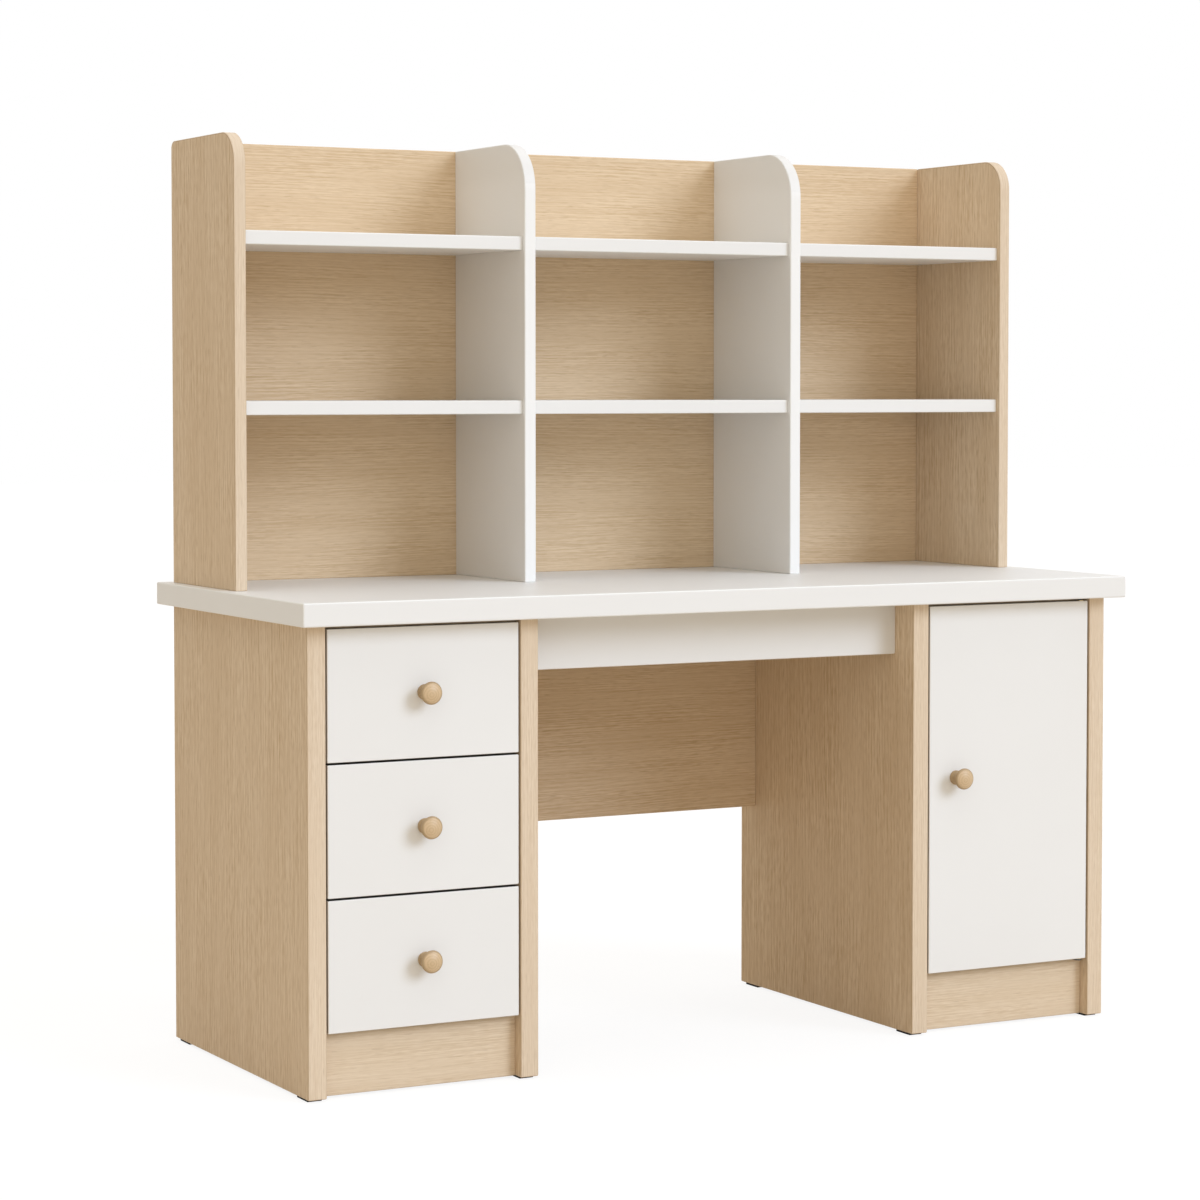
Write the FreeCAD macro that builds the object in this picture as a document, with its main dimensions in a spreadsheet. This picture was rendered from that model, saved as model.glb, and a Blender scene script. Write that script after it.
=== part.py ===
# Student desk with hutch: two pedestals under a top, and an open shelf unit that stands on the top.
# X runs to the right, Y to the back and Z up. The origin is on the floor under the middle of the top.
import FreeCAD
import Part
import os
import Sketcher
from types import SimpleNamespace

# Driving sizes in millimetres, one cell of the sheet each
SIZES = {
    # top
    "desk_width": 1500,
    "desk_depth": 610,
    "desk_height": 750,
    "top_thick": 36,
    "top_edge_radius": 2.5,
    "side_overhang": 20,
    "front_overhang": 34,
    "back_overhang": 25,
    # pedestals
    "pedestal_width": 385,
    "side_thick": 30,
    "case_thick": 18,
    "case_back_thick": 8,
    "plinth_high": 96,
    "rail_deep": 80,
    "edge_ease": 1.2,
    "glide_high": 4,
    "glide_wide": 24,
    "glide_long": 40,
    "glide_inset": 12,
    "glide_ease": 0.8,
    # knee space
    "apron_high": 86,
    "apron_inset": 54,
    "modesty_high": 389,
    "modesty_inset": 32,
    # fronts
    "front_thick": 18,
    "front_gap": 3,
    "front_top_gap": 6,
    "front_setback": 1,
    "front_rest": 1,
    "front_lift": 1,
    # drawers
    "box_lift": 28,
    "box_drop": 33,
    "box_rear_room": 74,
    "box_thick": 12,
    "floor_thick": 5,
    "floor_up": 12,
    "floor_groove": 6,
    # roller runners
    "runner_gap": 12.5,
    "runner_start": 4,
    "runner_end": 6,
    "sheet_thick": 1.2,
    "member_lip": 10,
    "member_room": 1.4,
    "channel_room": 1,
    "lift_room": 1.7,
    "roller_radius": 9,
    "roller_wide": 6,
    "roller_gap": 0.3,
    "roller_out": 3,
    "roller_inset": 14,
    "roller_ease": 0.6,
    "axle_radius": 2,
    "axle_head_radius": 3.4,
    "axle_head_thick": 0.9,
    "axle_play": 0.2,
    # knobs
    "knob_radius": 17.5,
    "knob_high": 32,
    "knob_inset": 52,
    "knob_rise": 19,
    "screw_radius": 2,
    "screw_head_radius": 4,
    "screw_head_thick": 2.4,
    "screw_reach": 14,
    "screw_hole_room": 0.25,
    "knob_bore_room": 0.5,
    # door pivots and catch
    "pivot_face": 7,
    "leaf_thick": 2,
    "leaf_radius": 6,
    "leaf_long": 60,
    "leaf_room": 0.5,
    "pivot_pin_radius": 2.5,
    "pivot_pin_long": 12,
    "bush_radius": 4.5,
    "bush_long": 14,
    "flange_radius": 6,
    "flange_thick": 0.7,
    "catch_wide": 14,
    "catch_deep": 22,
    "catch_high": 40,
    "catch_down": 60,
    "catch_play": 0.3,
    "catch_ease": 1.5,
    "strike_wide": 12,
    "strike_thick": 1.2,
    "strike_inset": 2,
    # cupboard shelf
    "cupboard_shelf_height": 270,
    "cupboard_shelf_setback": 20,
    "shelf_play": 1,
    "shelf_pin_radius": 2.5,
    "shelf_pin_long": 16,
    "shelf_pin_inset": 40,
    # hutch
    "hutch_high": 715,
    "hutch_depth": 270,
    "hutch_thick": 20,
    "hutch_back_thick": 10,
    "hutch_front_round": 50,
    "hutch_back_round": 12,
    "divider_round": 76,
    "bay_width": 485,
    "hutch_shelf_thick": 22,
    "hutch_shelf_setback": 8,
    "lower_shelf_up": 296,
    "upper_shelf_up": 562,
    # dowels
    "case_dowel_radius": 5,
    "case_dowel_long": 40,
    "case_dowel_inset": 92,
    "hutch_dowel_radius": 4,
    "hutch_dowel_long": 30,
    "hutch_dowel_inset": 50,
    "dowel_end_room": 0.5,
    # fits and cuts
    "fit_clear": 0.06,
    "overrun": 5,
}

# Knob profile from its foot to its crown: shares of the knob's radius and of its height.
# A third pair is a point on the arc that leaves that corner; the last arc is the crown.
KNOB_SHARES = (
    (0.68, 0.00),
    (0.68, 0.08, (0.50, 0.36)),
    (0.92, 0.69, (1.00, 0.77)),
    (0.94, 0.85),
)
RIM_SHARE = 0.25
ALIGNED_SHARE = 0.99
CROWN = "crown"
TIERS = ("bottom", "middle", "top")
BAYS = ("left", "middle", "right")
TO_RIGHT = FreeCAD.Vector(1, 0, 0)
TO_BACK = FreeCAD.Vector(0, 1, 0)
UP = FreeCAD.Vector(0, 0, 1)

doc = FreeCAD.newDocument("student_desk_with_hutch")
sheet = doc.addObject("Spreadsheet::Sheet", "sizes")
for row, (name, value) in enumerate(SIZES.items(), start=1):
    sheet.set(f"A{row}", name)
    sheet.set(f"B{row}", str(value))
    sheet.setAlias(f"B{row}", name)
doc.recompute()


class Size:
    """A length: its value now, and the formula on the sheet that gives it."""

    def __init__(self, value, formula):
        self.value = value
        self.formula = formula

    def __add__(self, other):
        return Size(self.value + value_of(other), f"({self.formula} + {formula_of(other)})")

    def __sub__(self, other):
        return Size(self.value - value_of(other), f"({self.formula} - {formula_of(other)})")

    def __mul__(self, share):
        return Size(self.value * share, f"({self.formula} * {share})")

    def __truediv__(self, parts):
        return Size(self.value / parts, f"({self.formula} / {parts})")

    def __neg__(self):
        return Size(-self.value, f"(0 - {self.formula})")


def value_of(size):
    return size.value if isinstance(size, Size) else size


def formula_of(size):
    return size.formula if isinstance(size, Size) else str(size)


def bind(item, path, size):
    """Ties one property of a feature to the sheet."""
    item.setExpression(path, formula_of(size))


def place(item, corner):
    """Ties the place of a feature to the sheet."""
    for axis, size in zip("xyz", corner):
        bind(item, f"Placement.Base.{axis}", size)


class Piece:
    """One solid in the making: its body, and the corner that its features are measured from."""

    def __init__(self, label, corner, turn=None):
        self.label = label
        self.corner = corner
        self.body = doc.addObject("PartDesign::Body", label)
        if turn is not None:
            self.body.Placement = FreeCAD.Placement(FreeCAD.Vector(), turn)
        place(self.body, corner)

    def feature(self, kind, label):
        return self.body.newObject(f"PartDesign::{kind}", f"{self.label}_{label}")

    def inside(self, point):
        return [size - start for size, start in zip(point, self.corner)]

    def block(self, label, across, along, up, kind="AdditiveBox"):
        """A block between three pairs of planes."""
        item = self.feature(kind, label)
        for side, (low, high) in zip(("Length", "Width", "Height"), (across, along, up)):
            bind(item, side, high - low)
        place(item, self.inside((across[0], along[0], up[0])))
        return item

    def rod(self, label, foot, axis, radius, long, kind="AdditiveCylinder"):
        """A round rod from its foot along an axis."""
        item = self.feature(kind, label)
        item.Placement = FreeCAD.Placement(FreeCAD.Vector(), FreeCAD.Rotation(UP, axis))
        bind(item, "Radius", radius)
        bind(item, "Height", long)
        place(item, self.inside(foot))
        return item

    def cut(self, label, across, along, up):
        return self.block(label, across, along, up, "SubtractiveBox")

    def bore(self, label, foot, axis, radius, long):
        return self.rod(label, foot, axis, radius, long, "SubtractiveCylinder")

    def ease(self, label, kind, size, edge=None):
        """Breaks one edge of the piece, or all of them, with a chamfer or a round."""
        base = self.body.Tip
        item = self.feature(kind, label)
        item.Base = (base, [edge or "Edge1"])
        item.UseAllEdges = edge is None
        bind(item, "Size" if kind == "Chamfer" else "Radius", size)
        return item

    def outline(self, label, role, corners):
        """A closed sketch on an origin plane; each corner is tied to the sheet across and up."""
        sketch = self.body.newObject("Sketcher::SketchObject", f"{self.label}_{label}")
        plane = [item for item in self.body.Origin.OriginFeatures if item.Role == role][0]
        sketch.AttachmentSupport = (plane, "")
        sketch.MapMode = "FlatFace"
        ends = []
        for index, corner in enumerate(corners):
            start = point_of(corner)
            end = point_of(corners[(index + 1) % len(corners)])
            if len(corner) == 2:
                side = sketch.addGeometry(Part.LineSegment(start, end), False)
                ends.append((side, 1, 2))
                continue
            middle = crown_of(start, end) if corner[2] == CROWN else point_of(corner[2])
            side = sketch.addGeometry(Part.Arc(start, middle, end), False)
            order = sorted((1, 2), key=lambda tip: sketch.getPoint(side, tip).distanceToPoint(start))
            ends.append((side, *order))
        for index, (side, _, last) in enumerate(ends):
            follower, first, _ = ends[(index + 1) % len(ends)]
            sketch.addConstraint(Sketcher.Constraint("Coincident", side, last, follower, first))
        for corner, (side, first, _) in zip(corners, ends):
            tie_point(sketch, side, first, corner)
            if len(corner) == 2:
                continue
            if corner[2] == CROWN:
                sketch.addConstraint(Sketcher.Constraint("PointOnObject", side, 3, -2))
                continue
            middle = sketch.addGeometry(Part.Point(point_of(corner[2])), True)
            tie_point(sketch, middle, 1, corner[2])
            sketch.addConstraint(Sketcher.Constraint("PointOnObject", middle, 1, side))
        return sketch

    def extrude(self, label, sketch, long):
        """Pads a sketch on the XZ plane towards the back."""
        item = self.feature("Pad", label)
        item.Profile = sketch
        item.Reversed = True
        bind(item, "Length", long)
        return item

    def turn(self, label, sketch):
        """Turns a sketch about its upright axis."""
        item = self.feature("Revolution", label)
        item.Profile = sketch
        item.ReferenceAxis = (sketch, ["V_Axis"])
        return item


def point_of(corner):
    return FreeCAD.Vector(value_of(corner[0]), value_of(corner[1]), 0)


def crown_of(start, end):
    """The middle of an arc that is centred on the upright axis and ends on it."""
    rise = end.y - start.y
    radius = (start.x ** 2 + rise ** 2) / (rise * 2)
    centre = FreeCAD.Vector(0, end.y - radius, 0)
    halfway = (start - centre) + (end - centre)
    return centre + halfway.normalize() * radius


def tie_point(sketch, side, end, corner):
    """Holds a sketch point at its place from the two axes."""
    for kind, axis, size in zip(("DistanceX", "DistanceY"), (-2, -1), corner):
        if not isinstance(size, Size):
            sketch.addConstraint(Sketcher.Constraint("PointOnObject", side, end, axis))
            continue
        index = sketch.addConstraint(Sketcher.Constraint(kind, -1, 1, side, end, size.value))
        bind(sketch, f"Constraints[{index}]", size)


def board(label, across, along, up, ease=None):
    """A flat board between three pairs of planes, with broken edges."""
    piece = Piece(label, (across[0], along[0], up[0]))
    piece.block("board", across, along, up)
    if ease is not None:
        piece.ease("edges", "Chamfer", ease)
    return piece


def rod(label, foot, axis, radius, long):
    piece = Piece(label, foot)
    piece.rod("rod", foot, axis, radius, long)
    return piece


def mirrored(label, piece, normal, middle):
    """The other hand of a piece, across a plane square to X or Z."""
    item = doc.addObject("Part::Mirroring", label)
    item.Source = piece.body
    item.Normal = normal
    bind(item, "Base.x" if normal == TO_RIGHT else "Base.z", middle)
    return item


def edge_towards(piece, along, towards):
    """Names the straight edge of a piece along an axis that lies furthest in a direction."""
    doc.recompute()
    reach = {}
    for number, edge in enumerate(piece.body.Tip.Shape.Edges, start=1):
        if abs(edge.tangentAt(edge.FirstParameter).dot(along)) > ALIGNED_SHARE:
            reach[f"Edge{number}"] = edge.CenterOfMass.dot(towards)
    return max(reach, key=reach.get)


parts = []


def keep(piece):
    """Hands in one piece as a sub-part."""
    parts.append(piece.body)
    return piece


def keep_group(label, members):
    """Hands in alike pieces as one sub-part of separate solids."""
    group = doc.addObject("Part::Compound", label)
    group.Links = [item.body if isinstance(item, Piece) else item for item in members]
    parts.append(group)


size = SimpleNamespace(**{name: Size(value, f"sizes.{name}") for name, value in SIZES.items()})

# Planes that several pieces share
top_right = size.desk_width / 2
top_back = size.desk_depth / 2
top_under = size.desk_height - size.top_thick
case_right = top_right - size.side_overhang
case_front = size.front_overhang - top_back
case_back = top_back - size.back_overhang
knee_right = case_right - size.pedestal_width
open_in = knee_right + size.side_thick
open_out = case_right - size.side_thick
left_open = (-open_out, -open_in)
right_open = (open_in, open_out)
case_depth = (case_front, case_back)
front_face = case_front + size.front_setback
front_rear = front_face + size.front_thick
inner_front = front_rear + size.front_rest
inner_back = case_back - size.case_back_thick
base_low = size.glide_high + size.plinth_high
base_top = base_low + size.case_thick
front_low = base_low + size.front_lift
front_top = top_under - size.front_top_gap
rail_low = top_under - size.case_thick
hutch_front = case_back - size.hutch_depth
hutch_inner_back = case_back - size.hutch_back_thick
hutch_top = size.desk_height + size.hutch_high
hinge_round = size.front_thick - size.pivot_face
pivot_x = open_out - size.front_gap - hinge_round
pivot_y = front_face + size.pivot_face
leaf_across = (pivot_x - size.leaf_radius - size.leaf_room, pivot_x + size.leaf_radius + size.leaf_room)

# Top
top_across = (-top_right, top_right)
desktop = keep(board("desktop", top_across, (-top_back, top_back), (top_under, size.desk_height)))
desktop.ease("edges", "Fillet", size.top_edge_radius)

# Pedestal sides
side_up = (size.glide_high, top_under)
side_spans = {
    "left_outer_side": (-case_right, -open_out),
    "left_inner_side": (-open_in, -knee_right),
    "right_inner_side": (knee_right, open_in),
    "right_outer_side": (open_out, case_right),
}
sides = {}
for label, across in side_spans.items():
    sides[label] = keep(board(label, across, case_depth, side_up, size.edge_ease))

# Plinths, base panels, back panels and top rails of both pedestals
plinth_along = (inner_front, inner_front + size.case_thick)
plinth_up = (size.glide_high, base_low)
base_along = (inner_front, inner_back)
base_up = (base_low, base_top)
back_along = (inner_back, case_back)
back_up = (base_low, top_under)
plinths = []
bases = []
backs = []
rails = []
for hand, across in (("left", left_open), ("right", right_open)):
    plinths.append(board(f"{hand}_plinth", across, plinth_along, plinth_up, size.edge_ease))
    bases.append(board(f"{hand}_base", across, base_along, base_up, size.edge_ease))
    backs.append(board(f"{hand}_back", across, back_along, back_up, size.edge_ease))
    for end, along in (
        ("front", (inner_front, inner_front + size.rail_deep)),
        ("rear", (inner_back - size.rail_deep, inner_back)),
    ):
        rails.append(board(f"{hand}_{end}_rail", across, along, (rail_low, top_under), size.edge_ease))
plinths[1].cut(
    "leaf_notch",
    leaf_across,
    (inner_front - size.overrun, inner_front + size.case_thick + size.overrun),
    (base_low - size.leaf_thick, base_low + size.overrun),
)
rails[2].cut(
    "leaf_notch",
    leaf_across,
    (inner_front - size.overrun, pivot_y + size.leaf_long + size.leaf_room),
    (top_under - size.leaf_thick, top_under + size.overrun),
)
keep_group("plinths", plinths)
keep_group("base_panels", bases)
keep_group("pedestal_backs", backs)
keep_group("top_rails", rails)

# Apron and modesty panel across the knee space
knee_across = (-knee_right, knee_right)
apron_front = case_front + size.apron_inset
modesty_back = case_back - size.modesty_inset
keep(
    board(
        "knee_apron",
        knee_across,
        (apron_front, apron_front + size.case_thick),
        (top_under - size.apron_high, top_under),
        size.edge_ease,
    )
)
keep(
    board(
        "modesty_panel",
        knee_across,
        (modesty_back - size.case_thick, modesty_back),
        (top_under - size.modesty_high, top_under),
        size.edge_ease,
    )
)

# Glides under the front and back ends of each side
glides = []
for label, (low, high) in side_spans.items():
    middle = (low + high) / 2
    glide_across = (middle - size.glide_wide / 2, middle + size.glide_wide / 2)
    for end, start in (
        ("front", case_front + size.glide_inset),
        ("back", case_back - size.glide_inset - size.glide_long),
    ):
        glide_along = (start, start + size.glide_long)
        glide_up = (0, size.glide_high)
        glides.append(board(f"{label}_{end}_glide", glide_across, glide_along, glide_up, size.glide_ease))
keep_group("foot_glides", glides)

# Runner profiles: the cabinet channel and the drawer member, with the rollers between them
sheet_up = size.sheet_thick
flange_under = size.roller_radius * 2 + size.roller_gap * 2
track_high = flange_under + sheet_up + size.lift_room
channel_flange = size.runner_gap - sheet_up - size.channel_room
member_flange = size.runner_gap - sheet_up - size.member_room
channel_outline = (
    (0, 0),
    (channel_flange, 0),
    (channel_flange, sheet_up),
    (sheet_up, sheet_up),
    (sheet_up, sheet_up + track_high),
    (channel_flange, sheet_up + track_high),
    (channel_flange, sheet_up * 2 + track_high),
    (0, sheet_up * 2 + track_high),
)
member_outline = (
    (0, 0),
    (size.member_lip + sheet_up, 0),
    (size.member_lip + sheet_up, sheet_up + flange_under),
    (size.member_lip + member_flange, sheet_up + flange_under),
    (size.member_lip + member_flange, sheet_up * 2 + flange_under),
    (size.member_lip, sheet_up * 2 + flange_under),
    (size.member_lip, sheet_up),
    (0, sheet_up),
)
drawer_middle = (left_open[0] + left_open[1]) / 2
box_right = left_open[1] - size.runner_gap
box_left = left_open[0] + size.runner_gap
box_inner_right = box_right - size.box_thick
box_inner_left = box_left + size.box_thick
box_back = inner_back - size.box_rear_room
channel_front = inner_front + size.runner_start
member_front = front_rear + size.runner_start
runner_long = box_back - size.runner_end - member_front
front_axle = channel_front + size.roller_inset
rear_axle = member_front + runner_long - size.roller_inset
roller_end = size.roller_out + size.roller_wide
member_roller_out = size.runner_gap - roller_end
member_roller_end = member_roller_out + size.roller_wide


def axle(piece, foot, axis, near, far):
    """A riveted axle: a shoulder up to the roller, the axle itself and a head behind the roller."""
    head_foot = (foot[0] + far + size.axle_play, foot[1], foot[2])
    piece.rod("shoulder", foot, axis, size.axle_head_radius, near - size.axle_play)
    piece.rod("axle", foot, axis, size.axle_radius, far + size.axle_play + size.axle_head_thick)
    piece.rod("head", head_foot, axis, size.axle_head_radius, size.axle_head_thick)


def roller_pair(label, along, height):
    """Two rollers on one line, the left one and its mirror image."""
    foot = (left_open[0] + size.roller_out, along, height)
    roller = rod(f"{label}_left", foot, TO_RIGHT, size.roller_radius, size.roller_wide)
    roller.ease("rims", "Chamfer", size.roller_ease)
    bore_foot = (foot[0] - size.overrun, along, height)
    bore_radius = size.axle_radius + size.fit_clear
    roller.bore("bore", bore_foot, TO_RIGHT, bore_radius, size.roller_wide + size.overrun * 2)
    keep_group(label, [roller, mirrored(f"{label}_right", roller, TO_RIGHT, drawer_middle)])


def knob(label, centre):
    """A turned knob, bored for its screw from the foot."""
    bore_radius = size.screw_radius + size.fit_clear
    bore_deep = size.screw_reach + size.knob_bore_room
    corners = [(bore_radius, 0)]
    for shares in KNOB_SHARES:
        across = size.knob_radius * shares[0]
        up = size.knob_high * shares[1] if shares[1] else 0
        if len(shares) == 2:
            corners.append((across, up))
            continue
        corners.append((across, up, (size.knob_radius * shares[2][0], size.knob_high * shares[2][1])))
    corners[-1] += (CROWN,)
    corners += [(0, size.knob_high), (0, bore_deep), (bore_radius, bore_deep)]
    piece = keep(Piece(label, centre, FreeCAD.Rotation(UP, 180)))
    piece.turn("turned", piece.outline("profile", "XY_Plane", corners))


def knob_screw(label, centre):
    """A pan-head screw from the back of a front into its knob."""
    head_foot = (centre[0], front_rear, centre[2])
    shank_foot = (centre[0], front_face - size.screw_reach, centre[2])
    screw = keep(Piece(label, head_foot))
    screw.rod("head", head_foot, TO_BACK, size.screw_head_radius, size.screw_head_thick)
    screw.ease("rim", "Chamfer", size.screw_head_thick * RIM_SHARE)
    screw.rod("shank", shank_foot, TO_BACK, size.screw_radius, size.front_thick + size.screw_reach)


def screw_hole(piece, centre):
    foot = (centre[0], front_face - size.overrun, centre[2])
    radius = size.screw_radius + size.screw_hole_room
    piece.bore("screw_hole", foot, TO_BACK, radius, size.front_thick + size.overrun * 2)


# Drawers with their runners, from the lowest up
drawer_high = (front_top - front_low - size.front_gap * (len(TIERS) - 1)) / len(TIERS)
front_across = (left_open[0] + size.front_gap, left_open[1] - size.front_gap)
front_along = (front_face, front_rear)
box_along = (front_rear, box_back)
floor_across = (box_inner_left - size.floor_groove, box_inner_right + size.floor_groove)
channels = []
low = front_low
for tier in TIERS:
    box_low = low + size.box_lift
    box_up = (box_low, low + drawer_high - size.box_drop)
    front_up = (low, low + drawer_high)
    floor_up = (box_low + size.floor_up, box_low + size.floor_up + size.floor_thick)
    knob_centre = (drawer_middle, front_face, low + drawer_high / 2)
    axle_up = box_low + size.roller_gap + size.roller_radius

    front = keep(board(f"{tier}_drawer_front", front_across, front_along, front_up, size.edge_ease))
    front.cut("groove", floor_across, (front_rear - size.floor_groove, front_rear + size.overrun), floor_up)
    screw_hole(front, knob_centre)

    right = board(f"{tier}_box_right", (box_inner_right, box_right), box_along, box_up, size.edge_ease)
    right.cut(
        "groove",
        (box_inner_right - size.overrun, box_inner_right + size.floor_groove),
        (front_rear - size.overrun, box_back + size.overrun),
        floor_up,
    )
    left = mirrored(f"{tier}_box_left", right, TO_RIGHT, drawer_middle)
    rear = board(
        f"{tier}_box_rear",
        (box_inner_left, box_inner_right),
        (box_back - size.box_thick, box_back),
        (floor_up[1], box_up[1]),
        size.edge_ease,
    )
    keep_group(f"{tier}_drawer_box", [right, left, rear])
    keep(board(f"{tier}_drawer_floor", floor_across, (front_rear - size.floor_groove, box_back), floor_up))
    knob(f"{tier}_drawer_knob", knob_centre)
    knob_screw(f"{tier}_drawer_screw", knob_centre)

    member = Piece(f"{tier}_member_right", (box_right - size.member_lip, member_front, box_low - sheet_up))
    member.extrude("rail", member.outline("profile", "XZ_Plane", member_outline), runner_long)
    axle(member, (box_right, rear_axle, axle_up), TO_RIGHT, member_roller_out, member_roller_end)
    member_left = mirrored(f"{tier}_member_left", member, TO_RIGHT, drawer_middle)
    keep_group(f"{tier}_drawer_runners", [member, member_left])

    channel = Piece(f"{tier}_channel_left", (left_open[0], channel_front, box_low - sheet_up))
    channel.extrude("rail", channel.outline("profile", "XZ_Plane", channel_outline), runner_long)
    axle(channel, (left_open[0], front_axle, axle_up), TO_RIGHT, size.roller_out, roller_end)
    channels += [channel, mirrored(f"{tier}_channel_right", channel, TO_RIGHT, drawer_middle)]
    roller_pair(f"{tier}_front_rollers", front_axle, axle_up)
    roller_pair(f"{tier}_rear_rollers", rear_axle, axle_up)
    low = low + drawer_high + size.front_gap
keep_group("runner_channels", channels)

# Door on two pivots at its right edge, above and below; that edge is round about the pivots behind
door_across = (right_open[0] + size.front_gap, right_open[1] - size.front_gap)
door_middle = (front_low + front_top) / 2
bush_hole = size.bush_radius + size.fit_clear
door_knob = (door_across[0] + size.knob_inset, front_face, door_middle + size.knob_rise)
door = keep(board("door_panel", door_across, front_along, (front_low, front_top)))
door.ease("hinge_round", "Fillet", hinge_round, edge_towards(door, UP, TO_RIGHT + TO_BACK))
door.ease("edges", "Chamfer", size.edge_ease)
for end, hole_low in (("low", front_low - size.overrun), ("high", front_top - size.bush_long)):
    hole_foot = (pivot_x, pivot_y, hole_low)
    door.bore(f"{end}_bush_hole", hole_foot, UP, bush_hole, size.bush_long + size.overrun)
screw_hole(door, door_knob)
knob("door_knob", door_knob)
knob_screw("door_screw", door_knob)

bush_foot = (pivot_x, pivot_y, front_low - size.flange_thick)
bush = rod("low_bush", bush_foot, UP, size.flange_radius, size.flange_thick)
bush.rod("sleeve", bush_foot, UP, size.bush_radius, size.flange_thick + size.bush_long)
bush.bore(
    "bore",
    (pivot_x, pivot_y, front_low - size.flange_thick - size.overrun),
    UP,
    size.pivot_pin_radius + size.fit_clear,
    size.flange_thick + size.bush_long + size.overrun * 2,
)
keep_group("door_bushes", [bush, mirrored("high_bush", bush, UP, door_middle)])

leaf_foot = (pivot_x, pivot_y, base_low - size.leaf_thick)
leaf = Piece("low_leaf", leaf_foot)
leaf.block(
    "plate",
    (pivot_x - size.leaf_radius, pivot_x + size.leaf_radius),
    (pivot_y, pivot_y + size.leaf_long),
    (base_low - size.leaf_thick, base_low),
)
leaf.rod("nose", leaf_foot, UP, size.leaf_radius, size.leaf_thick)
leaf.rod("pin", leaf_foot, UP, size.pivot_pin_radius, size.leaf_thick + size.pivot_pin_long)
leaf_middle = (base_low - size.leaf_thick + top_under) / 2
keep_group("pivot_leaves", [leaf, mirrored("high_leaf", leaf, UP, leaf_middle)])

# Magnetic catch on the inner side, and its strike plate on the door
catch_up = (front_top - size.catch_down - size.catch_high, front_top - size.catch_down)
catch_front = front_rear + size.strike_thick + size.catch_play
catch_across = (open_in, open_in + size.catch_wide)
catch_along = (catch_front, catch_front + size.catch_deep)
strike_left = door_across[0] + size.strike_inset
keep(board("magnetic_catch", catch_across, catch_along, catch_up, size.catch_ease))
keep(
    board(
        "strike_plate",
        (strike_left, strike_left + size.strike_wide),
        (front_rear, front_rear + size.strike_thick),
        catch_up,
        size.strike_thick * RIM_SHARE,
    )
)

# Cupboard shelf on four pins
shelf_low = base_top + size.cupboard_shelf_height
shelf_along = (inner_front + size.cupboard_shelf_setback, inner_back - size.shelf_play)
shelf_across = (right_open[0] + size.shelf_play, right_open[1] - size.shelf_play)
shelf_span = (shelf_low, shelf_low + size.case_thick)
keep(board("cupboard_shelf", shelf_across, shelf_along, shelf_span, size.edge_ease))
pin_up = shelf_low - size.shelf_pin_radius
pin_half = size.shelf_pin_long / 2
pin_hole = size.shelf_pin_radius + size.fit_clear
pins = []
for end, along in (
    ("front", shelf_along[0] + size.shelf_pin_inset),
    ("back", shelf_along[1] - size.shelf_pin_inset),
):
    for hand, face in (("inner", open_in), ("outer", open_out)):
        foot = (face - pin_half, along, pin_up)
        pins.append(rod(f"{end}_{hand}_pin", foot, TO_RIGHT, size.shelf_pin_radius, size.shelf_pin_long))
        side = sides[f"right_{hand}_side"]
        hole_foot = foot if hand == "inner" else (face - size.overrun, along, pin_up)
        hole_long = pin_half + size.overrun
        side.bore(f"{end}_pin_hole", hole_foot, TO_RIGHT, pin_hole, hole_long)
keep_group("shelf_pins", pins)

# Hutch uprights, each with its top corners rounded
hutch_up = (size.desk_height, hutch_top)
bay_left = size.hutch_thick - case_right
divider_left = bay_left + size.bay_width
bay_middle = divider_left + size.hutch_thick
divider_right = bay_middle + size.bay_width
bay_right = divider_right + size.hutch_thick
bay_spans = {
    "left": (bay_left, divider_left),
    "middle": (bay_middle, divider_right),
    "right": (bay_right, case_right - size.hutch_thick),
}
uprights = {
    "hutch_left_side": (-case_right, bay_left),
    "hutch_left_divider": (divider_left, bay_middle),
    "hutch_right_divider": (divider_right, bay_right),
    "hutch_right_side": (case_right - size.hutch_thick, case_right),
}
upright_pieces = {}
for label, across in uprights.items():
    outer = label.endswith("side")
    back = case_back if outer else hutch_inner_back
    upright = keep(board(label, across, (hutch_front, back), hutch_up))
    front_round = size.hutch_front_round if outer else size.divider_round
    upright.ease("front_round", "Fillet", front_round, edge_towards(upright, TO_RIGHT, UP - TO_BACK))
    if outer:
        back_edge = edge_towards(upright, TO_RIGHT, UP + TO_BACK)
        upright.ease("back_round", "Fillet", size.hutch_back_round, back_edge)
    upright.ease("edges", "Chamfer", size.edge_ease)
    upright_pieces[label] = upright

# Hutch back panel between the sides, and the shelves of the three bays
hutch_inner = (bay_left, case_right - size.hutch_thick)
keep(board("hutch_back_panel", hutch_inner, (hutch_inner_back, case_back), hutch_up, size.edge_ease))
shelf_depth = (hutch_front + size.hutch_shelf_setback, hutch_inner_back)
for level, height in (("lower", size.lower_shelf_up), ("upper", size.upper_shelf_up)):
    shelf_top = size.desk_height + height
    for bay in BAYS:
        hutch_shelf_up = (shelf_top - size.hutch_shelf_thick, shelf_top)
        keep(board(f"hutch_{level}_shelf_{bay}", bay_spans[bay], shelf_depth, hutch_shelf_up, size.edge_ease))

# Dowels: the top on the pedestal sides, and the uprights on the top
dowels = []


def dowel(label, foot, radius, long, under, over):
    """A dowel across the joint of two pieces, with a bore for it in each."""
    x, y, z = foot
    hole = radius + size.fit_clear
    deep = long / 2 + size.dowel_end_room
    dowels.append(rod(f"{label}_dowel", (x, y, z - long / 2), UP, radius, long))
    under.bore(f"{label}_bore", (x, y, z - deep), UP, hole, deep + size.overrun)
    over.bore(f"{label}_bore", (x, y, z - size.overrun), UP, hole, deep + size.overrun)


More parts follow.
